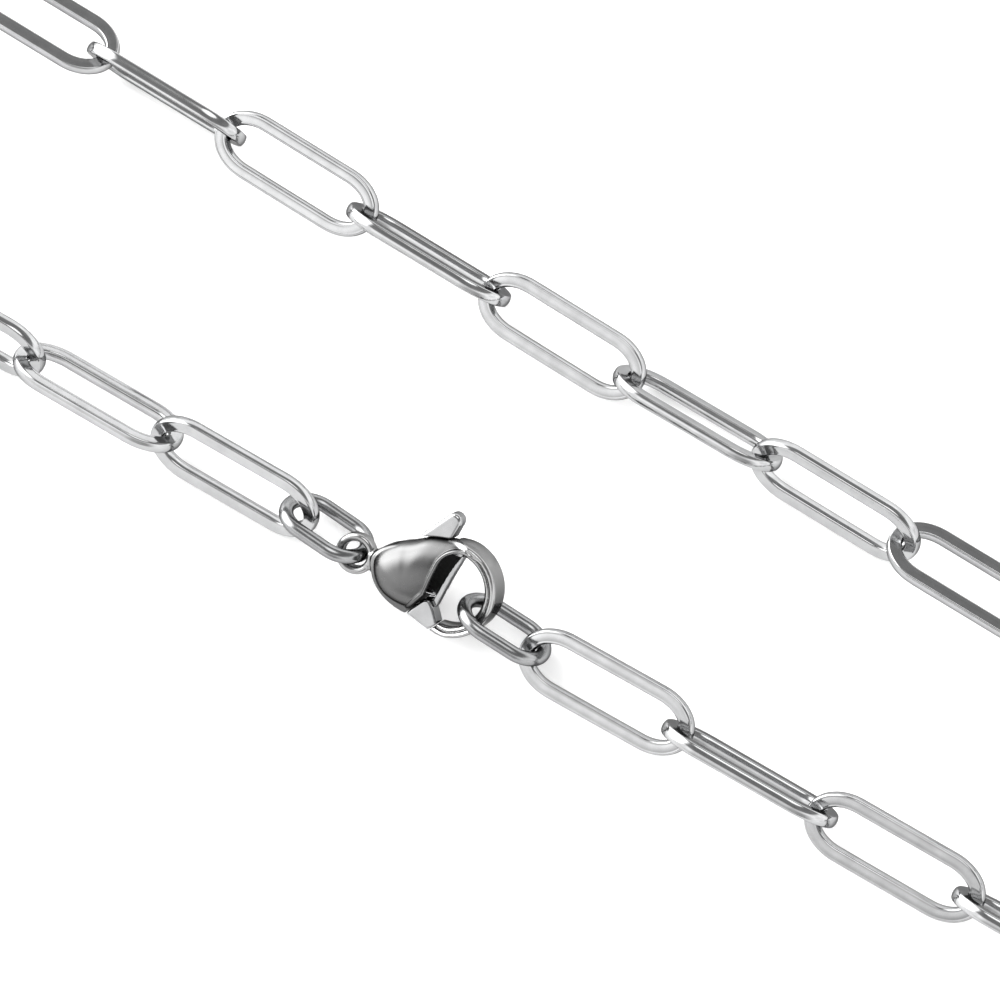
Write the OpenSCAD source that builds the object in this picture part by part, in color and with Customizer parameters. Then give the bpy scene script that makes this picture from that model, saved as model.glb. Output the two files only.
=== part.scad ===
// Flat cable chain necklace of long oval links with a lobster clasp, laid on a table.
// Millimetres, +Z up. The table is z = 0 and the origin is the middle of the laid loop.
// The two near strands run along X, and -Y is the side of the strand with the clasp.

/* [Links] */
// Number of long links in the chain
link_count = 43; // [43:1:43]
// Outside length of a link
link_length = 12.0; // [11.9:0.05:12.2]
// Outside width of a link
link_width = 4.3; // [4.2:0.05:4.5]
// Width of the flattened wire, measured across the link's flat face
wire_width = 0.93; // [0.9:0.01:0.94]
// Thickness of the flattened wire
wire_thickness = 0.78; // [0.7:0.02:0.82]
// How far each side of the flattened wire bulges
wire_bulge = 0.1; // [0.04:0.01:0.14]

/* [Jump rings] */
// Outside length of an oval jump ring
ring_length = 6.4; // [6.35:0.05:6.4]
// Outside width of an oval jump ring
ring_width = 4.3; // [4.2:0.05:4.4]
// Diameter of the jump rings' round wire
ring_wire = 0.9; // [0.88:0.01:0.9]

/* [Clasp body] */
// Thickness of the flat hook
hook_thickness = 1.9; // [1.8:0.05:2.0]
// Slope cut round the edges of the hook's opening
hook_chamfer = 0.3; // [0.2:0.05:0.35]
// Outside radius of the hook
hook_radius = 2.9; // [2.85:0.05:2.95]
// Radius of the hook's opening
hook_bore = 2.15; // [2.1:0.05:2.2]
// Thickness of the puffed body at its middle
body_thickness = 3.5; // [3.3:0.05:3.6]
// Wall of the hollow body
body_wall = 0.35; // [0.3:0.01:0.4]
// Outside radius of the eye
eye_radius = 1.3; // [1.25:0.01:1.35]
// Radius of the hole in the eye
eye_bore = 0.76; // [0.74:0.01:0.78]
// Thickness of the eye
eye_thickness = 0.9; // [0.8:0.05:1.0]
// Width of the slot that the lever's tab swings in
slot_width = 1.3; // [1.3:0.05:1.4]

/* [Clasp lever] */
// Thickness of the lever
lever_thickness = 1.1; // [1.0:0.05:1.1]
// Radius of the hinge pin
pin_radius = 0.4; // [0.35:0.01:0.45]
// Running clearance round the hinge pin
pin_clearance = 0.05; // [0.03:0.01:0.08]

/* [Lay] */
// Half the distance between the two strands at the middle of the view
half_gap = 9.32; // [9:0.05:9.6]
// Angle at which each strand closes in to the right
strand_taper = 1.05; // [0.9:0.05:1.2]
// Straight run to the right of the middle of the view
run_right = 49.75; // [49.75:0.05:49.75]
// Straight run to the left of the middle of the view
run_left = 68.9; // [68.9:0.05:68.9]
// Radius of the easy bends that lead into each end turn
sway_radius = 40; // [40:1:40]
// Radius of the turn at each end of the loop
turn_radius = 16; // [16:1:16]

/* [Hidden] */
$fn = 48;

// Play between two links that pull on each other
play = 0.14;
pitch = link_length - 2 * wire_width - play;

// Middle of the first link's pull point, from the middle of the view along the strand
first_joint_x = 7.65;

// Leans of the links about their own length, in degrees. Neighbours stand about square
// to each other. Columns: link number, lean. Between two rows the lean changes evenly.
odd_leans = [[1, 40], [3, 40], [19, 113], [21, 140], [23, 143], [25, 184], [41, 252], [43, 241]];
even_leans = [[2, -57], [4, -57], [18, 8], [20, 44], [22, 55], [24, 74], [28, 110], [42, 149]];
clasp_lean = 40;

function two_digits(n) = str(n < 10 ? "0" : "", n);
link_names = [for (i = [1 : link_count]) str("link_", two_digits(i))];

// The loop that the chain lies along

function half_gap_at(x) = half_gap - x * tan(strand_taper);
function sway_out(gap) = acos((gap + sway_radius * cos(strand_taper)) / (turn_radius + sway_radius));
out_right = sway_out(half_gap_at(run_right));
out_left = sway_out(half_gap_at(-run_left));
function arc_length(radius, degrees) = radius * degrees * PI / 180;
sway_right = arc_length(sway_radius, out_right + strand_taper);
sway_left = arc_length(sway_radius, out_left - strand_taper);
tip_right = run_right + sway_radius * (sin(strand_taper) + sin(out_right))
    + turn_radius * (1 + sin(out_right));
tip_left = run_left + sway_radius * (sin(out_left) - sin(strand_taper))
    + turn_radius * (1 + sin(out_left));
// The middle of the view, measured from the middle of the loop
view_x = (tip_left - tip_right) / 2;

// Each run of the loop: its length and its radius, positive to the left, 0 when straight
runs = [
    [(run_right - first_joint_x) / cos(strand_taper), 0],
    [sway_right, -sway_radius],
    [arc_length(turn_radius, 180 + 2 * out_right), turn_radius],
    [sway_right, -sway_radius],
    [(run_right + run_left) / cos(strand_taper), 0],
    [sway_left, -sway_radius],
    [arc_length(turn_radius, 180 + 2 * out_left), turn_radius],
    [sway_left, -sway_radius],
    [(run_left + first_joint_x) / cos(strand_taper), 0]
];

// A place on the loop is [x, y, heading]
start_place = [view_x + first_joint_x, -half_gap_at(first_joint_x), strand_taper];
function turned(place, length, radius) = place[2] + length / radius * 180 / PI;
function along(place, length, radius) = radius == 0
    ? [place[0] + length * cos(place[2]), place[1] + length * sin(place[2]), place[2]]
    : [
        place[0] + radius * (sin(turned(place, length, radius)) - sin(place[2])),
        place[1] - radius * (cos(turned(place, length, radius)) - cos(place[2])),
        turned(place, length, radius)
    ];
function loop_place(s, place = start_place, i = 0) =
    s <= runs[i][0] || i == len(runs) - 1
    ? along(place, s, runs[i][1])
    : loop_place(s - runs[i][0], along(place, runs[i][0], runs[i][1]), i + 1);

// Heights and places of the links

function lean_of(i) = i % 2 == 1 ? lookup(i, odd_leans) : lookup(i, even_leans);
// Height of a link's axis when its lower bar rests on the table
function rest_height(lean, width, thickness) =
    width / 2 * abs(sin(lean)) + thickness / 2 * abs(cos(lean));
function link_rest(i) = i < 1 || i > link_count
    ? 0
    : rest_height(lean_of(i), link_width, wire_thickness);
// Joint k lies between link k and link k + 1, and is as high as the taller of them needs
function joint_height(k) = max(link_rest(k), link_rest(k + 1));
function joint_point(k) = let (p = loop_place(k * pitch)) [p[0], p[1], joint_height(k)];

// Puts children that lie along X between two points, turned about their length
module between(a, b, lean) {
    d = b - a;
    translate((a + b) / 2)
        rotate([0, -atan2(d[2], norm([d[0], d[1]])), atan2(d[1], d[0])])
            rotate([lean, 0, 0]) children();
}

// Section of the flattened wire: flat faces and softly bulging sides
module wire_section(width, thickness, bulge) {
    side = (thickness * thickness / 4 + bulge * bulge) / (2 * bulge);
    intersection() {
        square([width, thickness], center = true);
        translate([side - width / 2, 0]) circle(side);
        translate([width / 2 - side, 0]) circle(side);
    }
}

// A long oval of wire with its length along X, from a section given as the child
module oval(length, width, wire) {
    reach = (length - width) / 2;
    bend = (width - wire) / 2;
    for (side = [0, 180]) {
        rotate([0, 0, side]) {
            translate([reach, 0, 0]) rotate([0, 0, -90]) rotate_extrude(angle = 180)
                translate([bend, 0]) children();
            translate([-reach, bend, 0]) rotate([90, 0, 90]) linear_extrude(2 * reach) children();
        }
    }
}

module link_solid() {
    oval(link_length, link_width, wire_width) wire_section(wire_width, wire_thickness, wire_bulge);
}

module ring_solid() {
    oval(ring_length, ring_width, ring_wire) circle(d = ring_wire, $fn = 72);
}

module link(i) {
    color([0.78, 0.79, 0.8]) between(joint_point(i - 1), joint_point(i), lean_of(i)) link_solid();
}

// The clasp lies in its own plane: U runs from the eye to the far side of the hook,
// V points to the side with the thumb tab, and the eye's middle is the clasp's origin.

hook_centre = [6.2, 1.05];
bore_centre = [6.2, 1.2];
neck_centre = [1.5, 0.1];
neck_radius = 1.0;
waist_centre = [3.7, 0.9];
waist_radius = 2.2;
dome_centre = [4.3, 0.9];
pivot = [3.4, 0.2];
// Radius about the pivot at which the lever's nose ends and the hook's tip begins
nose_reach = 3.5;
nose_gap = 0.1;
mouth_u = 5.15;
// Distance from the dome's centre at which the puffed faces are down to this thickness
puff_reach = 2.8;
puff_edge = 1.9;
eye_bulge = 0.08;
// Near corner of the tab's slot, and how far the slot runs along U
slot_corner = [1.7, 1.2];
slot_run = 4.05;
pin_length = 2.8;
hub_radius = 0.8;
// Larger than the clasp in its own plane
beyond = 12;

// Two discs and the skin between them, which stays a hair inside each disc's edge so that
// it crosses the edge instead of only touching it
module tapered(a, ra, b, rb) {
    d = b - a;
    lean_in = acos((ra - rb) / norm(d));
    aim = atan2(d[1], d[0]);
    hold = 0.995;
    translate(a) circle(ra);
    translate(b) circle(rb);
    polygon([
        a + ra * hold * [cos(aim + lean_in), sin(aim + lean_in)],
        b + rb * hold * [cos(aim + lean_in), sin(aim + lean_in)],
        b + rb * hold * [cos(aim - lean_in), sin(aim - lean_in)],
        a + ra * hold * [cos(aim - lean_in), sin(aim - lean_in)]
    ]);
}

module body_outline(inset) {
    tapered(neck_centre, neck_radius - inset, waist_centre, waist_radius - inset);
    tapered(waist_centre, waist_radius - inset, hook_centre, hook_radius - inset);
}

// The mouth of the hollow body, open towards the hook's opening
module mouth_outline() {
    polygon([
        [4.3, -2.4],
        [4.3, -1.5],
        [mouth_u, -0.4],
        [mouth_u, 2.4],
        [5.5, 3.1],
        [6.1, 3.75],
        [10, 4.4],
        [10, -2.4]
    ]);
}

// A puffed lens: the overlap of two large balls, one above and one below the clasp's plane
module puff(inset) {
    rise = (body_thickness - puff_edge) / 2;
    ball = (puff_reach * puff_reach + rise * rise) / (2 * rise);
    depth = ball - body_thickness / 2;
    intersection() {
        translate([dome_centre[0], dome_centre[1], -depth]) sphere(ball - inset);
        translate([dome_centre[0], dome_centre[1], depth]) sphere(ball - inset);
    }
}

module body_shell() {
    difference() {
        intersection() {
            linear_extrude(body_thickness + 1, center = true) difference() {
                body_outline(0);
                mouth_outline();
            }
            puff(0);
        }
        intersection() {
            linear_extrude(body_thickness + 1, center = true) body_outline(body_wall);
            puff(body_wall);
        }
    }
}

// The hook starts at the back of the mouth, goes round the opening and ends at the nose
module hook() {
    difference() {
        linear_extrude(hook_thickness, center = true) difference() {
            translate(hook_centre) circle(hook_radius);
            translate(bore_centre) circle(hook_bore);
            translate([mouth_u - beyond, -beyond / 2]) square([beyond, beyond]);
            // The lever's nose takes the place of the hook inside this reach
            intersection() {
                translate(pivot) circle(nose_reach + nose_gap);
                translate([0, bore_centre[1] - beyond]) square([beyond, beyond]);
            }
        }
        for (side = [1, -1]) {
            translate([bore_centre[0], bore_centre[1], side * (hook_thickness / 2 - hook_chamfer)])
                mirror([0, 0, side > 0 ? 0 : 1])
                    cylinder(h = 1, r1 = hook_bore, r2 = hook_bore + 1);
        }
    }
}

module eye() {
    rotate_extrude() translate([(eye_radius + eye_bore) / 2, 0])
        wire_section(eye_radius - eye_bore, eye_thickness, eye_bulge);
}

module clasp_body_solid() {
    difference() {
        union() {
            body_shell();
            hook();
            eye();
        }
        // Slot that the tab and the gate swing through
        translate([slot_corner[0], slot_corner[1], -slot_width / 2])
            cube([slot_run, beyond, slot_width]);
        translate([0, 0, -eye_thickness]) cylinder(h = 2 * eye_thickness, r = eye_bore);
    }
    translate([pivot[0], pivot[1], -pin_length / 2]) cylinder(h = pin_length, r = pin_radius);
}

// A flat piece of the lever, as thick as the lever
module lever_plate() {
    linear_extrude(lever_thickness, center = true) children();
}

module clasp_lever_solid() {
    difference() {
        union() {
            // Hub and the thumb tab that it carries
            lever_plate() tapered(pivot, hub_radius, [4.15, 2.6], 0.95);
            lever_plate() tapered([4.3, 2.9], 0.95, [4.5, 4.95], 0.58);
            // Gate that closes the hook, and the arm that holds its head
            lever_plate() tapered([5.95, 0.1], 0.2, [5.95, 2.75], 0.201);
            lever_plate() tapered([4.3, 2.75], 0.5, [5.75, 2.7], 0.35);
            // Arm and nose
            lever_plate() tapered(pivot, 0.7, [4.9, -0.35], 0.6);
            lever_plate() polygon([
                [4.65, -1.5],
                [6.5, -1.8],
                [6.95, -0.9],
                [6.15, 0.15],
                [4.75, 0.15]
            ]);
        }
        translate([pivot[0], pivot[1], -lever_thickness])
            cylinder(h = 2 * lever_thickness, r = pin_radius + pin_clearance);
        // The nose ends at its reach
        difference() {
            translate([4, 0.4 - beyond, -lever_thickness])
                cube([beyond, beyond, 2 * lever_thickness]);
            translate([pivot[0], pivot[1], -2 * lever_thickness])
                cylinder(h = 4 * lever_thickness, r = nose_reach);
        }
    }
}

// Places of the clasp and its rings, from the middle of the view. The eye and the rings
// lie slack, a little off the strand's middle line.
eye_centre = [-4.89, -9.74, 2.0];
ring_right_centre = [5.383, -9.123, 2.132];
ring_right_turns = [-37.4, 12.45, 2.6];
ring_left_centre = [-7.393, -9.283, 1.781];
ring_left_turns = [-32, 0.3, -3.3];

module in_clasp_plane() {
    translate([view_x, 0, 0] + eye_centre) rotate([clasp_lean, 0, strand_taper]) children();
}

module jump_ring_left() {
    color([0.6, 0.61, 0.62]) translate([view_x, 0, 0] + ring_left_centre) rotate(ring_left_turns)
        ring_solid();
}

module jump_ring_right() {
    color([0.6, 0.61, 0.62]) translate([view_x, 0, 0] + ring_right_centre) rotate(ring_right_turns)
        ring_solid();
}

module clasp_body() {
    color([0.62, 0.63, 0.64]) in_clasp_plane() clasp_body_solid();
}

module clasp_lever() {
    color([0.8, 0.81, 0.82]) in_clasp_plane() clasp_lever_solid();
}

for (i = [1 : link_count]) {
    link(i);
}
jump_ring_left();
jump_ring_right();
clasp_body();
clasp_lever();
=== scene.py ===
import math

import bpy
import numpy as np
from mathutils import Matrix, Vector


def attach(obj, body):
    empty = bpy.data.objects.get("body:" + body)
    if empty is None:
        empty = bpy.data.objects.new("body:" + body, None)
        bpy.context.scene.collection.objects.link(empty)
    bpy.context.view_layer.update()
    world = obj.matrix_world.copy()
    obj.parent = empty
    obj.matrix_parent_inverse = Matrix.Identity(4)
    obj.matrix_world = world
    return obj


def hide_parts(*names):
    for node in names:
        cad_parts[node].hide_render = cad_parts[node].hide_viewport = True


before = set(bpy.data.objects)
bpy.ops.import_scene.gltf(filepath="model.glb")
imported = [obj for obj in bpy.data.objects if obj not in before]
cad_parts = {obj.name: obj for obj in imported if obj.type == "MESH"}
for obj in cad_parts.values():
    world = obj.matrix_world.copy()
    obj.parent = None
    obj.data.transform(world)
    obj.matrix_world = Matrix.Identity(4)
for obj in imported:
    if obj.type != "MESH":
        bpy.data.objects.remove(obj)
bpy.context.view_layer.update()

# Studio
# The necklace lies on a plain white table in a bright tent. The walls of the tent are lit
# and its top is dim, so polished steel shows white and grey bands with dark lines between.

MM = 0.001
# The spot on the table that the camera looks at, where it stands from there, and its lens
VIEW_X, VIEW_Y = 6.781 * MM, -1.316 * MM
TURN, RISE, AWAY = math.radians(33.02), math.radians(66), 325 * MM
LENS, SENSOR, NEAREST = 190.8, 36, 10 * MM
TABLE_REACH = 3.0
PAPER_WHITE = (0.85, 0.85, 0.85, 1)
PAPER_GLOW = 0.2
# Light by height, from 0.5 at the table to 1 overhead: the walls, the dim gap above them and
# the lamp. The gap comes lower on the far side than in front.
TENT_LIGHT = [(0.5, 0.6), (0.67, 0.66), (0.76, 0.72), (0.8, 0.62), (0.83, 0.14), (0.978, 0.12),
              (0.986, 0.94), (1.0, 0.94)]
FAR_DIP, TENT_STRENGTH = 0.09, 3.2
FOLD_FINE, FOLD_DEPTH = 3.5, 0.9
# The front wall is dim where a dark cloth hangs, low and a little to the right
CLOTH_AT = (0.25, -0.933, 0.259)
CLOTH_SHADE = [(0.9145, 1), (0.985, 0.4)]
# A large soft box stands at the left, its middle 25 degrees above the table
BOX_AT = (-0.906, 0.0, 0.423)
BOX_LIGHT = [(0.872, 0), (0.964, 1)]
BOX_STRENGTH = 2.1


class Value:
    """A socket of a node tree, with Python's operators for the maths on numbers."""

    def __init__(self, shader, socket):
        self.shader, self.socket = shader, socket

    def maths(self, operation, *values):
        return self.shader.node("ShaderNodeMath", {"operation": operation}, *values)

    def __add__(self, other):
        return self.maths("ADD", self, other)

    def __sub__(self, other):
        return self.maths("SUBTRACT", self, other)

    def __rsub__(self, other):
        return self.maths("SUBTRACT", other, self)

    def __mul__(self, other):
        return self.maths("MULTIPLY", self, other)

    __radd__, __rmul__ = __add__, __mul__


class Shader:
    """The node tree of a material or of the world. One method adds every node to it."""

    def __init__(self, owner):
        owner.use_nodes = True
        self.tree = owner.node_tree
        self.tree.nodes.clear()

    def node(self, kind, settings, *values, output=0, **named):
        made = self.tree.nodes.new(kind)
        for name, setting in settings.items():
            if name == "stops":
                ramp = made.color_ramp
                while len(ramp.elements) > 1:
                    ramp.elements.remove(ramp.elements[-1])
                for i, (place, level) in enumerate(setting):
                    stop = ramp.elements[0] if i == 0 else ramp.elements.new(place)
                    colour = level if isinstance(level, list) else [level] * 3
                    stop.position, stop.color = place, (*colour, 1)
            else:
                setattr(made, name, setting)
        sockets = list(zip(made.inputs, values))
        sockets += [(made.inputs[n.replace("_", " ")], v) for n, v in named.items()]
        for socket, value in sockets:
            if isinstance(value, Value):
                self.tree.links.new(value.socket, socket)
            else:
                socket.default_value = value
        return Value(self, made.outputs[output]) if made.outputs else None

    def surface(self, **sockets):
        """The material's surface, and the output that it feeds."""
        body = self.node("ShaderNodeBsdfPrincipled", {}, **sockets)
        self.node("ShaderNodeOutputMaterial", {}, body)


def graded(share, stops):
    """A shade or colour for each share from 0 to 1, read between a ramp's stops."""
    return share.shader.node("ShaderNodeValToRGB", {"stops": stops}, share)


def grain(place, fineness, detail):
    """A cloudy grain. A higher fineness gives smaller clouds."""
    return place.shader.node(
        "ShaderNodeTexNoise", {}, Vector=place, Scale=fineness, Detail=detail)


def lit(towards, stops):
    """The tent's light by a number from -1, opposite a place, to 1, straight towards it."""
    return graded(towards * 0.5 + 0.5, stops)


def lit_about(direction, place, stops):
    """The tent's light by how near a direction is to a place on its wall."""
    towards = direction.shader.node(
        "ShaderNodeVectorMath", {"operation": "DOT_PRODUCT"}, direction, place, output=1)
    return lit(towards, stops)


camera = bpy.data.objects.new("camera", bpy.data.cameras.new("camera"))
bpy.context.collection.objects.link(camera)
bpy.context.scene.camera = camera
look = Vector((math.sin(TURN) * math.cos(RISE), -math.cos(TURN) * math.cos(RISE), math.sin(RISE)))
camera.location = Vector((VIEW_X, VIEW_Y, 0)) + AWAY * look
camera.rotation_euler = look.to_track_quat("Z", "Y").to_euler()
camera.data.lens, camera.data.sensor_width = LENS, SENSOR
camera.data.clip_start = NEAREST

table_corners = [(TABLE_REACH * a, TABLE_REACH * b, 0)
                 for a, b in ((-1, -1), (1, -1), (1, 1), (-1, 1))]
table = bpy.data.objects.new("table", bpy.data.meshes.new("table"))
table.data.from_pydata(table_corners, [], [(0, 1, 2, 3)])
bpy.context.collection.objects.link(table)
paper = bpy.data.materials.new("white_table")
Shader(paper).surface(Base_Color=PAPER_WHITE, Roughness=0.5, Emission_Color=(1, 1, 1, 1),
                      Emission_Strength=PAPER_GLOW)
table.data.materials.append(paper)

tent = bpy.data.worlds.new("tent")
bpy.context.scene.world = tent
shader = Shader(tent)
direction = shader.node("ShaderNodeTexCoord", {})
across = shader.node("ShaderNodeSeparateXYZ", {}, direction, output=1)
height = shader.node("ShaderNodeSeparateXYZ", {}, direction, output=2)
folds = grain(direction, FOLD_FINE, 1.0)
level = lit(height + across * FAR_DIP, TENT_LIGHT) * lit_about(direction, CLOTH_AT, CLOTH_SHADE)
level = level + lit_about(direction, BOX_AT, BOX_LIGHT) * BOX_STRENGTH
strength = (folds * FOLD_DEPTH + (1 - FOLD_DEPTH / 2)) * TENT_STRENGTH
light = shader.node("ShaderNodeBackground", {}, Color=level, Strength=strength)
shader.node("ShaderNodeOutputWorld", {}, light)
bpy.context.scene.view_settings.view_transform = "Standard"

# Long links
# Forty-three long ovals of stainless steel wire, rolled flat, bent, soldered shut and
# tumbled to a mirror. Each is threaded through the next, and they lie tipped in turn.

LINK_COUNT, LINK_LENGTH, LINK_WIDTH = 43, 12.0, 4.3
WIRE_WIDTH, WIRE_THICKNESS = 0.93, 0.78
# The rolled wire's sides bulge, its corners are round and its flat faces a little crowned
WIRE_BULGE, WIRE_CORNER, WIRE_CROWN = 0.1, 0.14, 0.015
# How far a link's ends are drawn out, and the steps round each end and along each bar
LINK_EASING, END_STEPS, BAR_STEPS = 1.4, 32, 8
LINK_TONE = (0.37, 0.372, 0.375)
LINK_GLOSS, LINK_RIPPLE = 0.12, 0.35
# How fine the ripple, the haze and the mottling of polished steel are, and how much they do
RIPPLE_FINE, RIPPLE_DEPTH = 420.0, 0.00004
HAZE_FINE, HAZE, MOTTLE_FINE, MOTTLE = 2600.0, 0.05, 900.0, 0.2
EDGE_TINT = (0.2, 0.2, 0.2, 1)


def oval_path(length, width, wire, easing):
    """Points of an oval's middle line and the outward direction at each. The easing draws
    the ends out from half circles to half ellipses."""
    bend = (width - wire) / 2
    run = bend * easing
    reach = (length - wire) / 2 - run
    path = []
    for side in (1, -1):
        for i in range(END_STEPS + 1):
            angle = math.pi * (i / END_STEPS - side / 2)
            c, s = math.cos(angle), math.sin(angle)
            path.append((Vector((reach * side + run * c, bend * s, 0)),
                         Vector((c / run, s / bend, 0)).normalized()))
        for i in range(1, BAR_STEPS):
            path.append((Vector((reach * side * (1 - 2 * i / BAR_STEPS), bend * side, 0)),
                         Vector((0, side, 0))))
    return path


def flattened(width, thickness, bulge, corner, crown):
    """Section of a flattened wire: crowned faces, round corners and bulging sides."""
    top = thickness / 2
    side = (top * top + bulge * bulge) / (2 * bulge)
    side_middle = width / 2 - side
    lean = math.asin((top - corner) / (side - corner))
    edge = side_middle + (side - corner) * math.cos(lean)
    quarter = []
    for share in (0, 0.25, 0.5, 0.75, 1):
        turn = lean * share
        quarter.append((side_middle + side * math.cos(turn), side * math.sin(turn)))
    for share in (0.2, 0.4, 0.6, 0.8):
        turn = lean + (math.pi / 2 - lean) * share
        quarter.append((edge + corner * math.cos(turn), top - corner + corner * math.sin(turn)))
    for share in (1, 0.75, 0.5, 0.25, 0):
        quarter.append((edge * share, top - crown * share ** 2))
    upper = quarter[:-1] + [(-a, b) for a, b in reversed(quarter)]
    return upper + [(-a, -b) for a, b in upper[1:-1]]


def swept(name, path, section):
    """A closed ring of metal: a section, in steps outward and upward, carried round a path."""
    count, points, faces = len(section), [], []
    for place, out in path:
        points += [(place + out * a + Vector((0, 0, b))) * MM for a, b in section]
    for i in range(len(path)):
        for k in range(count):
            a, b = i * count, (i + 1) % len(path) * count
            faces.append((a + k, a + (k + 1) % count, b + (k + 1) % count, b + k))
    mesh = bpy.data.meshes.new(name)
    mesh.from_pydata(points, [], faces)
    mesh.shade_smooth()
    return mesh


def steel(name, tone, gloss, ripple):
    """Polished steel: a ripple left by tumbling, slight haze and a mottled tone."""
    metal = bpy.data.materials.new(name)
    shader = Shader(metal)
    place = shader.node("ShaderNodeTexCoord", {}, output=3)
    swell, haze = grain(place, RIPPLE_FINE, 1.0), grain(place, HAZE_FINE, 4.0)
    waves = shader.node("ShaderNodeBump", {}, Strength=ripple, Distance=RIPPLE_DEPTH, Height=swell)
    colour = graded(grain(place, MOTTLE_FINE, 5.0), [(0.0, [c * (1 - MOTTLE) for c in tone]),
                                                     (1.0, [c * (1 + MOTTLE) for c in tone])])
    shader.surface(Base_Color=colour, Metallic=1.0, Specular_Tint=EDGE_TINT,
                   Roughness=haze * HAZE + (gloss - HAZE / 2), Normal=waves)
    return metal


def placed(name, mesh, body, node):
    """A piece that rides on a body and takes the place of a CAD node."""
    piece = bpy.data.objects.new(name, mesh)
    bpy.context.collection.objects.link(piece)
    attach(piece, body)
    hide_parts(node)


def threaded(name, shape, metal, node):
    """A link or ring laid along its CAD node's length, width and thickness."""
    spots = np.array([v.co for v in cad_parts[node].data.vertices])
    axes = np.linalg.eigh(np.cov((spots - spots.mean(0)).T))[1][:, ::-1]
    axes[:, 2] = np.cross(axes[:, 0], axes[:, 1])
    along = spots @ axes
    centre = axes @ ((along.max(0) + along.min(0)) / 2)
    mesh = shape.copy()
    mesh.transform(Matrix.Translation(Vector(centre)) @ Matrix(axes.tolist()).to_4x4())
    mesh.materials.append(metal)
    placed(name, mesh, "chain", node)


link_mesh = swept(
    "long_link",
    oval_path(LINK_LENGTH, LINK_WIDTH, WIRE_WIDTH, LINK_EASING),
    flattened(WIRE_WIDTH, WIRE_THICKNESS, WIRE_BULGE, WIRE_CORNER, WIRE_CROWN),
)
link_steel = steel("link_steel_polished", LINK_TONE, LINK_GLOSS, LINK_RIPPLE)
for number in range(1, LINK_COUNT + 1):
    threaded(f"long_link_{number:02d}", link_mesh, link_steel, f"link_{number:02d}")

# Jump rings
# Two oval rings of round steel wire, closed butt to butt. They join the last link to the
# clasp's eye and the first link to its hook.

RING_LENGTH, RING_WIDTH, RING_WIRE, WIRE_SIDES = 6.4, 4.3, 0.9, 32
RING_TONE = (0.25, 0.252, 0.255)
RING_GLOSS, RING_RIPPLE = 0.21, 0.5

turns = [math.tau * i / WIRE_SIDES for i in range(WIRE_SIDES)]
ring_mesh = swept(
    "jump_ring",
    oval_path(RING_LENGTH, RING_WIDTH, RING_WIRE, 1.0),
    [(RING_WIRE / 2 * math.cos(turn), RING_WIRE / 2 * math.sin(turn)) for turn in turns],
)
ring_steel = steel("ring_steel_polished", RING_TONE, RING_GLOSS, RING_RIPPLE)
for side in ("left", "right"):
    threaded(f"wire_ring_{side}", ring_mesh, ring_steel, f"jump_ring_{side}")

# Clasp body
# The lobster clasp's cast steel body: a hollow puffed pod with a rim along its lower side,
# a flat hook with round edges and an eye, all in one. The lever's pin is riveted through.

CLASP_LEAN, CLASP_TAPER = math.radians(40), math.radians(1.05)
EYE_PLACE = Vector((VIEW_X - 4.89 * MM, -9.74 * MM, 2.0 * MM))
clasp_place = (Matrix.Translation(EYE_PLACE) @ Matrix.Rotation(CLASP_TAPER, 4, "Z")
               @ Matrix.Rotation(CLASP_LEAN, 4, "X"))
# Places below are millimetres in the clasp's own plane, from the middle of the eye: u towards
# the hook, v towards the tab and w towards the camera. A disc is its middle and its radius.
MIDLINE = 1.2
# The pod's puffed faces are highest at the ridge, nearer the lower side
POD_MIDDLE, POD_RIDGE = (4.0, MIDLINE), (3.8, 0.2)
POD_HEIGHT, POD_WALL = 1.75, 0.35
FULLNESS, PUFF_SCALE = 2.4, 1.6
# How far out the pod and its rim reach from the pod's middle, by degrees from the hook's side
POD_REACH = {10: 3.3, 30: 4.3, 52: 3.85, 60: 3.4, 67: 2.95, 80: 2.5, 100: 2.07, 114: 1.86,
             130: 1.8, 159: 2.1, 176: 2.5, 188: 2.84, 199: 2.88, 214: 2.84, 235: 2.76, 253: 2.55,
             272: 2.43, 292: 2.38, 330: 2.7}
RIM_REACH = {10: 2.5, 60: 2.6, 85: 2.0, 110: 1.7, 132: 1.6, 150: 1.8, 163: 2.1, 176: 2.5,
             184: 2.75, 190: 3.0, 197: 3.08, 207: 2.97, 223: 2.94, 239: 2.85, 258: 2.78,
             277: 2.78, 292: 2.9, 330: 2.6}
RIM_HALF, RIM_EDGE = 0.75, 0.15
# Inside the rim there is room for the lever, this far from the edge and from the middle
RIM_WALL, LEVER_ROOM = 0.3, 0.64
# An outline is kept at each half degree, and smoothed over this many of them either way
HALF_DEGREES = np.arange(0, 360, 0.5)
SMOOTHING = 30
# The mouth's side is straight above its foot and sloped below it, and its top is round
MOUTH_SIDE, MOUTH_FOOT = 5.27, 0.4
MOUTH_SLOPE = (1.3, 0.53)
MOUTH_TOP = (6.47, 2.5, 1.2)
# The pod's back reaches further into the mouth: how much for each millimetre of depth, the
# most of all, and the height where that begins and the rise over which it grows
BACK_SLOPE, BACK_MOST, BACK_FROM, BACK_RISE = 0.9, 0.5, -0.5, 0.6
LIP_RADIUS = 0.13
NECK = [(0.9, 0.08, 0.45), (1.7, 0.3, 0.8)]
NECK_HALF, NECK_EDGE = 0.5, 0.2
HOOK, BORE = (6.36, 1.22, 2.99), (6.3, MIDLINE, 2.22)
HOOK_FROM, HOOK_HALF, HOOK_EDGE, BORE_FLARE = 5.0, 1.05, 0.24, 0.22
# The hook thins where it grows out of the pod and towards its tip. These are where that
# starts, over what length it happens and how much of the half thickness goes.
ROOT_THINNING, TIP_THINNING = (6.5, 1.3, 0.5), (7.6, 1.4, 0.35)
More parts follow.
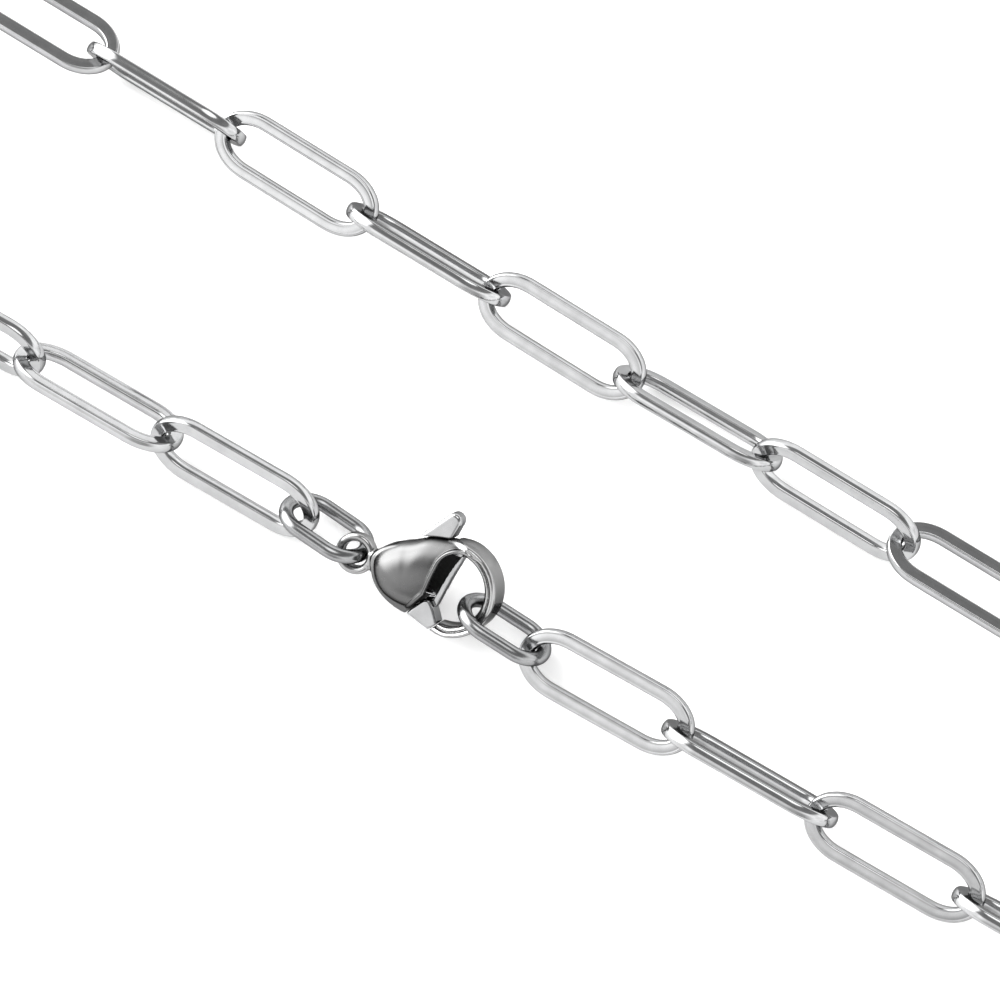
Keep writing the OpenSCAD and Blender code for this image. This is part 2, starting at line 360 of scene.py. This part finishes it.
# A thinner step runs round inside the hook
STEP_FROM, STEP_WIDTH, STEP_OVERLAP, STEP_DOWN, STEP_EDGE = 5.4, 0.27, 0.04, 0.12, 0.25
EYE, EYE_BORE = (0, 0, 1.28), (0, 0, 0.78)
EYE_HALF, EYE_EDGE = 0.44, 0.22
PIN_PLACE = (3.4, 0.2)
PIN_RADIUS, PIN_HALF = 0.38, 1.4
# How far from the pin the hook's tip leaves room for the nose, and the slot for the tab
NOSE_ROOM_REACH, SLOT_REACH = 3.46, 4.4
SLOT_BACK, SLOT_HALF = 0.2, 0.42
SLOT_END, SLOT_END_SLOPE = (2.0, 1.8), 0.2
# Shares of the way along the clasp: 0.1 is the middle of its eye, 0.9 the hook's far side
EYE_SHARE, SHARES_PER_METRE = 0.1, 85.0
# Where the eye's polish ends, where the pod's satin begins and ends, and where the hook's polish
# begins, and the steel's tone and roughness at each. The pod's much darker tone is painted shade.
CAST_ALONG = (0.18, 0.24, 0.53, 0.63)
CAST_TONE_AND_SHADE, CAST_GLOSS = (0.3, 0.12, 0.11, 0.3), (0.16, 0.28, 0.28, 0.16)
CAST_HAZE = 0.06
# How near the hollow's skin the middle of a face on it lies
ON_SKIN = 0.03


def disc(u, v, place):
    return np.hypot(u - place[0], v - place[1]) - place[2]


def about_pin(u, v, reach):
    return disc(u, v, (*PIN_PLACE, reach))


def tapered_bar(u, v, start, end):
    """Two discs and the straight skin between them."""
    span = math.dist(start[:2], end[:2])
    along = ((end[0] - start[0]) / span, (end[1] - start[1]) / span)
    y = (u - start[0]) * along[0] + (v - start[1]) * along[1]
    x = np.abs((v - start[1]) * along[0] - (u - start[0]) * along[1])
    lean = (start[2] - end[2]) / span
    rise = math.sqrt(1 - lean * lean)
    foot = y * rise - x * lean
    side = x * rise + y * lean - start[2]
    return np.where(foot < 0, np.hypot(x, y) - start[2],
                    np.where(foot > span * rise, np.hypot(x, y - span) - end[2], side))


def joined(a, b, soft):
    """Two solids as one, with a fillet where they meet."""
    share = np.maximum(soft - np.abs(a - b), 0) / soft
    return np.minimum(a, b) - share * share * soft / 4


def cut(a, b, soft):
    """The first solid without the second, with rounded edges."""
    return -joined(-a, b, soft)


def rounded_plate(flat, w, half, edge):
    """A flat piece of this outline and half thickness, with rounded edges."""
    a, b = flat + edge, np.abs(w) - (half - edge)
    return np.minimum(np.maximum(a, b), 0) + np.hypot(np.maximum(a, 0), np.maximum(b, 0)) - edge


def thinning(u, start, length, most):
    """What a plate loses of its half thickness, little by little from the start."""
    share = np.clip((start - u) / length, 0, 1)
    return share * share * (3 - 2 * share) * most


def smooth_outline(reaches):
    """Distance to a closed outline at each half degree, from a few measured ones."""
    rough = np.interp(HALF_DEGREES, list(reaches), list(reaches.values()), period=360)
    window = np.hanning(2 * SMOOTHING + 1)
    closed = np.concatenate([rough[-SMOOTHING:], rough, rough[:SMOOTHING]])
    return np.convolve(closed, window / window.sum(), mode="valid")


def out_and_reach(u, v, middle, outline):
    """How far out from the middle a place is, and how far out the outline is that way."""
    a, b = u - middle[0], v - middle[1]
    reach = np.interp(np.degrees(np.arctan2(b, a)), HALF_DEGREES, outline, period=360)
    return np.hypot(a, b), reach


pod_outline, rim_outline = smooth_outline(POD_REACH), smooth_outline(RIM_REACH)
# The pod's outline once more, as it is seen from the ridge
turns = np.radians(HALF_DEGREES)
edge_u = POD_MIDDLE[0] + pod_outline * np.cos(turns) - POD_RIDGE[0]
edge_v = POD_MIDDLE[1] + pod_outline * np.sin(turns) - POD_RIDGE[1]
ridge_outline = np.interp(HALF_DEGREES, np.degrees(np.arctan2(edge_v, edge_u)),
                          np.hypot(edge_u, edge_v), period=360)


def puffed(u, v, w, wall):
    """The pod's puffed form, or the same form a wall's thickness further in."""
    out, reach = out_and_reach(u, v, POD_RIDGE, ridge_outline)
    flat, rise = out / (reach - wall), np.abs(w) / (POD_HEIGHT - wall)
    return ((flat ** FULLNESS + rise ** FULLNESS) ** (1 / FULLNESS) - 1) * PUFF_SCALE


def pod_hollow(u, v, w):
    """The room inside the pod, where the lever turns."""
    out, reach = out_and_reach(u, v, POD_MIDDLE, pod_outline)
    room = np.maximum(out - reach + RIM_WALL, np.abs(w) - LEVER_ROOM)
    return np.minimum(puffed(u, v, w, POD_WALL), room)


def pod_mouth(u, v, w):
    """Distance to the mouth, the part of the pod that is cut away towards the hook. The back
    of the pod reaches further under the gate, and no further under the nose."""
    further = np.clip(-BACK_SLOPE * w, 0, BACK_MOST)
    u = u - further * np.clip((v - BACK_FROM) / BACK_RISE, 0, 1)
    side, top, foot = u - MOUTH_SIDE, v - MOUTH_TOP[1], v - MOUTH_FOOT
    slope = (side * MOUTH_SLOPE[0] - foot * MOUTH_SLOPE[1]) / math.hypot(*MOUTH_SLOPE)
    mouth = np.minimum(np.maximum(-side, top), np.maximum(-slope, foot))
    mouth = np.minimum(mouth, disc(u, v, MOUTH_TOP))
    return np.minimum(mouth, np.maximum(MOUTH_TOP[0] - u, top - MOUTH_TOP[2]))


def clasp_body_field(u, v, w):
    """Distance to the body's skin, negative inside the steel. The clasp's other forms are
    counted in the same way."""
    out, reach = out_and_reach(u, v, POD_MIDDLE, rim_outline)
    pod = puffed(u, v, w, wall=0)
    body = joined(pod, rounded_plate(out - reach, w, RIM_HALF, RIM_EDGE), soft=0.12)
    neck = rounded_plate(tapered_bar(u, v, *NECK), w, NECK_HALF, NECK_EDGE)
    body = joined(body, neck, soft=0.2)
    body = cut(body, pod_hollow(u, v, w), soft=0.06)
    mouth = pod_mouth(u, v, w)
    body = cut(body, mouth, soft=0.08)
    body = joined(body, np.hypot(mouth - LIP_RADIUS, pod) - LIP_RADIUS, soft=0.04)

    nose_room = np.maximum(about_pin(u, v, NOSE_ROOM_REACH), v - MIDLINE)
    bore = disc(u, v, BORE) - BORE_FLARE * (w / HOOK_HALF) ** 2
    half = HOOK_HALF - np.where(v > MIDLINE, thinning(u, *ROOT_THINNING),
                                thinning(u, *TIP_THINNING))
    hook = np.maximum.reduce([disc(u, v, HOOK), STEP_WIDTH - bore, HOOK_FROM - u])
    hook = cut(rounded_plate(hook, w, half, HOOK_EDGE), nose_room, soft=0.06)
    step = np.maximum.reduce([bore - STEP_WIDTH - STEP_OVERLAP, -bore, STEP_FROM - u])
    step = cut(rounded_plate(step, w, half - STEP_DOWN, STEP_EDGE), nose_room, soft=0.06)
    body = joined(body, hook, soft=0.18)
    body = joined(body, step, soft=0.02)

    slot_end = SLOT_END[0] - u - (v - SLOT_END[1]) * SLOT_END_SLOPE
    slot = np.maximum.reduce([about_pin(u, v, SLOT_REACH), MIDLINE - v, slot_end,
                              np.abs(w + SLOT_BACK) - SLOT_HALF])
    body = cut(body, slot, soft=0.06)
    body = joined(body, rounded_plate(disc(u, v, EYE), w, EYE_HALF, EYE_EDGE), soft=0.1)
    body = cut(body, disc(u, v, EYE_BORE), soft=0.3)
    return np.minimum(body, np.maximum(about_pin(u, v, PIN_RADIUS), np.abs(w) - PIN_HALF))


def surface_net(values):
    """The skin where a grid of distances is zero: one point in each cell that it crosses,
    counted in cells, and a face for each grid line that it crosses."""
    cells = [n - 1 for n in values.shape]
    total, hits, crossings = np.zeros((3, *cells)), np.zeros(cells), []
    for axis in range(3):
        one, two = [k for k in range(3) if k != axis]
        near, far = np.delete(values, -1, axis), np.delete(values, 0, axis)
        crossed = (near < 0) != (far < 0)
        share = np.where(crossed, near / np.where(crossed, near - far, 1), 0)
        crossings.append((one, two, crossed, near < 0))
        for a in (0, 1):
            for b in (0, 1):
                window = [slice(None)] * 3
                window[one], window[two] = slice(a, a + cells[one]), slice(b, b + cells[two])
                window = tuple(window)
                total[axis] += share[window]
                total[one] += a * crossed[window]
                total[two] += b * crossed[window]
                hits += crossed[window]
    touched = hits > 0
    number = np.full(cells, -1)
    number[touched] = np.arange(touched.sum())
    points = np.argwhere(touched) + (total[:, touched] / hits[touched]).T
    faces = []
    for axis, (one, two, crossed, solid) in enumerate(crossings):
        inner = [slice(None)] * 3
        inner[one], inner[two] = slice(1, -1), slice(1, -1)
        at = np.argwhere(crossed[tuple(inner)])
        at[:, [one, two]] += 1
        corners = []
        for a, b in ((1, 1), (0, 1), (0, 0), (1, 0)):
            spot = at.copy()
            spot[:, one] -= a
            spot[:, two] -= b
            corners.append(number[tuple(spot.T)])
        quads = np.stack(corners, 1)
        outward = solid[tuple(at.T)] != (axis == 1)
        faces.append(np.where(outward[:, None], quads, quads[:, ::-1]))
    return points, np.concatenate(faces)


def pulled_on(points, field, step, pulls=5):
    """The points, drawn onto the skin in a few pulls, and the way out of the steel at each."""
    nudge = step * 0.05
    for _ in range(pulls):
        slope = np.stack([field(*(points + n).T) - field(*(points - n).T)
                          for n in np.eye(3) * nudge], 1) / (2 * nudge)
        steep = np.maximum((slope * slope).sum(1), 0.05)
        pull = slope * (field(*points.T) / steep)[:, None]
        longest = np.maximum(np.abs(pull).max(1), 1e-9)
        points = points - pull * np.minimum(1, step * 0.5 / longest)[:, None]
    return points, slope / np.linalg.norm(slope, axis=1)[:, None]


def skinned(name, field, low, high, step):
    """Mesh of a field's skin in its place on the clasp, and the middles of its faces."""
    axes = [np.arange(a, b, step) for a, b in zip(low, high)]
    points, faces = surface_net(field(*np.meshgrid(*axes, indexing="ij")))
    points, outward = pulled_on(points * step + np.array(low), field, step)
    turned, place = np.array(clasp_place.to_3x3()), np.array(clasp_place.translation)
    mesh = bpy.data.meshes.new(name)
    mesh.from_pydata((points * MM @ turned.T + place).tolist(), [], faces.tolist())
    mesh.shade_smooth()
    mesh.normals_split_custom_set_from_vertices((outward @ turned.T).tolist())
    return mesh, points[faces].mean(1)


def cast_steel(name):
    """Satin on the pod, polished on the hook and the eye. The pod's much darker base colour is
    painted shade.
    """
    metal = bpy.data.materials.new(name)
    shader = Shader(metal)
    place = shader.node("ShaderNodeTexCoord", {}, output=3)
    along = shader.node("ShaderNodeSeparateXYZ", {}, place, output=0)
    share = (along - EYE_PLACE.x) * SHARES_PER_METRE + EYE_SHARE
    swell, haze = grain(place, RIPPLE_FINE, 1.0), grain(place, HAZE_FINE, 4.0)
    pits = grain(place, 1500.0, 3.0)
    # The pod's darker base colour along here is painted shade
    tone = graded(share, zip(CAST_ALONG, CAST_TONE_AND_SHADE))
    gloss = graded(share, zip(CAST_ALONG, CAST_GLOSS))
    waves = shader.node("ShaderNodeBump", {}, Strength=0.35, Distance=RIPPLE_DEPTH, Height=swell)
    pitted = shader.node("ShaderNodeBump", {}, Strength=0.25, Distance=0.00001, Height=pits,
                         Normal=waves)
    shader.surface(Base_Color=tone, Metallic=1.0, Specular_Tint=EDGE_TINT,
                   Roughness=gloss + (haze - 0.5) * CAST_HAZE, Normal=pitted)
    return metal


def painted_shade_inside(name):
    """A rough near-black skin inside the pod: the roughness is the unpolished inside, the black is
    painted shade.
    """
    metal = bpy.data.materials.new(name)
    shader = Shader(metal)
    grains = grain(shader.node("ShaderNodeTexCoord", {}, output=3), 5200.0, 2.0)
    rough = shader.node("ShaderNodeBump", {}, Strength=0.6, Distance=0.00003, Height=grains)
    # Painted shade: a near-black base colour for the deep inside of the pod
    tone = graded(grains, [(0.3, 0.01), (0.7, 0.03)])
    shader.surface(Base_Color=tone, Roughness=0.6, Normal=rough)
    return metal


body_mesh, face_middles = skinned(
    "clasp_body_skin", clasp_body_field, low=(-1.5, -2.0, -1.95), high=(9.6, 4.5, 1.95), step=0.06)
body_mesh.materials.append(cast_steel("pod_steel_satin_painted_shade"))
# The near-black material that paints shade inside the pod
inside_shade_material = painted_shade_inside("pod_inside_painted_shade")
body_mesh.materials.append(inside_shade_material)
# The faces that lie on the hollow's own skin get the near-black material: painted shade
hollow_shade_mask = np.abs(pod_hollow(*face_middles.T)) < ON_SKIN
body_mesh.polygons.foreach_set("material_index", hollow_shade_mask.astype(np.int32))
placed("lobster_body", body_mesh, "chain", "clasp_body")

# Clasp lever
# One flat piece of steel on the pin: the thumb tab, the thin gate that closes the hook and
# the nose that completes its ring. A small spring inside the pod holds it shut.

LEVER_HALF, LEVER_EDGE, LEVER_BACK, PIN_PLAY = 0.33, 0.08, 0.18, 0.05
STEM = [(*PIN_PLACE, 0.7), (4.3, 2.9, 0.85)]
GATE = [(6.13, 3.2, 0.09), (6.01, 2.5, 0.14), (5.92, 1.9, 0.16), (5.82, 0.8, 0.17),
        (5.78, -0.3, 0.17)]
GATE_EDGE = 0.05
# The arm carries the gate from the stem, and the toe carries the nose
ARM = [(4.5, 3.1, 0.3), (6.08, 3.13, 0.12)]
ARM_HALF, ARM_EDGE, ARM_BACK = 0.15, 0.05, 0.36
TOE = [(*PIN_PLACE, 0.65), (4.95, -0.35, 0.25)]
TOE_HALF, TOE_EDGE, TOE_BACK = 0.35, 0.1, 0.1
# The tab is thick only outside the pod and above its sloped foot, and so it stays clear of
# the pod as the lever turns. A narrower neck joins it to the stem.
TAB = [(4.2, 3.1, 0.93), (4.76, 5.02, 0.5)]
TAB_HALF, TAB_EDGE, TAB_CLEAR, NECK_INSET = 0.55, 0.24, 0.06, 0.3
TAB_FOOT, TAB_FOOT_SLOPE = (4.43, 3.72), 0.44
NOSE_HALF, NOSE_EDGE, NOSE_REACH = 0.6, 0.14, 3.4
NOSE_CORNERS = [(4.52, -1.56), (6.15, -1.8), (6.6, -1.3), (6.32, -0.92), (6.1, -0.65),
                (5.85, -0.4), (5.45, -0.12), (5.15, -0.25), (4.78, -0.9)]
SPRING = [(4.6, 0.2, 0.001), (5.47, 0.31, 0.0)]
SPRING_RADIUS, SPRING_FRONT, SPRING_BRIGHT_FROM = 0.17, 0.25, 5.05
# How far from the pin the lever gets painted shade inside the pod. What is further out swings out
# of the slot.
PAINTED_SHADE_REACH = 2.0
LEVER_TONE = (0.34, 0.342, 0.345)
LEVER_GLOSS, LEVER_RIPPLE = 0.16, 0.35


def nose_outline(u, v):
    """The nose's straight-sided outline: the furthest out of all its sides."""
    out = -math.inf
    for a, b in zip(NOSE_CORNERS, NOSE_CORNERS[1:] + NOSE_CORNERS[:1]):
        beyond = ((u - a[0]) * (b[1] - a[1]) - (v - a[1]) * (b[0] - a[0])) / math.dist(a, b)
        out = -joined(-out, -beyond, soft=0.08)
    return out


def spring_wire(u, v, w):
    """The end of the spring's wire, which rests on the lever in the mouth."""
    return np.hypot(tapered_bar(u, v, *SPRING), w - SPRING_FRONT) - SPRING_RADIUS


def clasp_lever_field(u, v, w):
    back = w + LEVER_BACK
    lever = rounded_plate(tapered_bar(u, v, *STEM), back, LEVER_HALF, LEVER_EDGE)
    gate = tapered_bar(u, v, *GATE[:2])
    for one, two in zip(GATE[1:], GATE[2:]):
        gate = joined(gate, tapered_bar(u, v, one, two), soft=0.04)
    lever = np.minimum(lever, rounded_plate(gate, back, LEVER_HALF, GATE_EDGE))
    arm = rounded_plate(tapered_bar(u, v, *ARM), w + ARM_BACK, ARM_HALF, ARM_EDGE)
    lever = joined(lever, arm, soft=0.05)
    flat_tab = tapered_bar(u, v, *TAB)
    neck = rounded_plate(flat_tab + NECK_INSET, back, LEVER_HALF, LEVER_EDGE)
    lever = joined(lever, neck, soft=0.05)
    out, reach = out_and_reach(u, v, POD_MIDDLE, pod_outline)
    foot = TAB_FOOT[1] + (u - TAB_FOOT[0]) * TAB_FOOT_SLOPE - v
    over_pod = -np.maximum(reach - out + TAB_CLEAR, foot)
    tab = cut(rounded_plate(flat_tab, w, TAB_HALF, TAB_EDGE), over_pod, soft=0.1)
    lever = joined(lever, tab, soft=0.03)
    toe = rounded_plate(tapered_bar(u, v, *TOE), w + TOE_BACK, TOE_HALF, TOE_EDGE)
    lever = joined(lever, toe, soft=0.1)
    nose = rounded_plate(nose_outline(u, v), w, NOSE_HALF, NOSE_EDGE)
    lever = joined(lever, cut(nose, -about_pin(u, v, NOSE_REACH), soft=0.06), soft=0.08)
    lever = cut(lever, about_pin(u, v, PIN_RADIUS + PIN_PLAY), soft=0.04)
    return np.minimum(lever, spring_wire(u, v, w))


lever_mesh, face_middles = skinned(
    "clasp_lever_skin", clasp_lever_field, low=(2.4, -2.1, -0.8), high=(7.0, 5.8, 0.8), step=0.05)
lever_mesh.materials.append(steel("lever_steel_polished", LEVER_TONE, LEVER_GLOSS, LEVER_RIPPLE))
lever_mesh.materials.append(inside_shade_material)
# Painted shade on the lever inside the pod, but not on the spring's end or on what swings out of
# the slot
pod_shade_mask = (pod_hollow(*face_middles.T) < 0) & (pod_mouth(*face_middles.T) > -0.1)
pod_shade_mask &= ((np.abs(spring_wire(*face_middles.T)) > 0.02)
           | (face_middles[:, 0] < SPRING_BRIGHT_FROM))
pod_shade_mask &= about_pin(*face_middles[:, :2].T, PAINTED_SHADE_REACH) < 0
lever_mesh.polygons.foreach_set("material_index", pod_shade_mask.astype(np.int32))
placed("lobster_lever", lever_mesh, "lever", "clasp_lever")
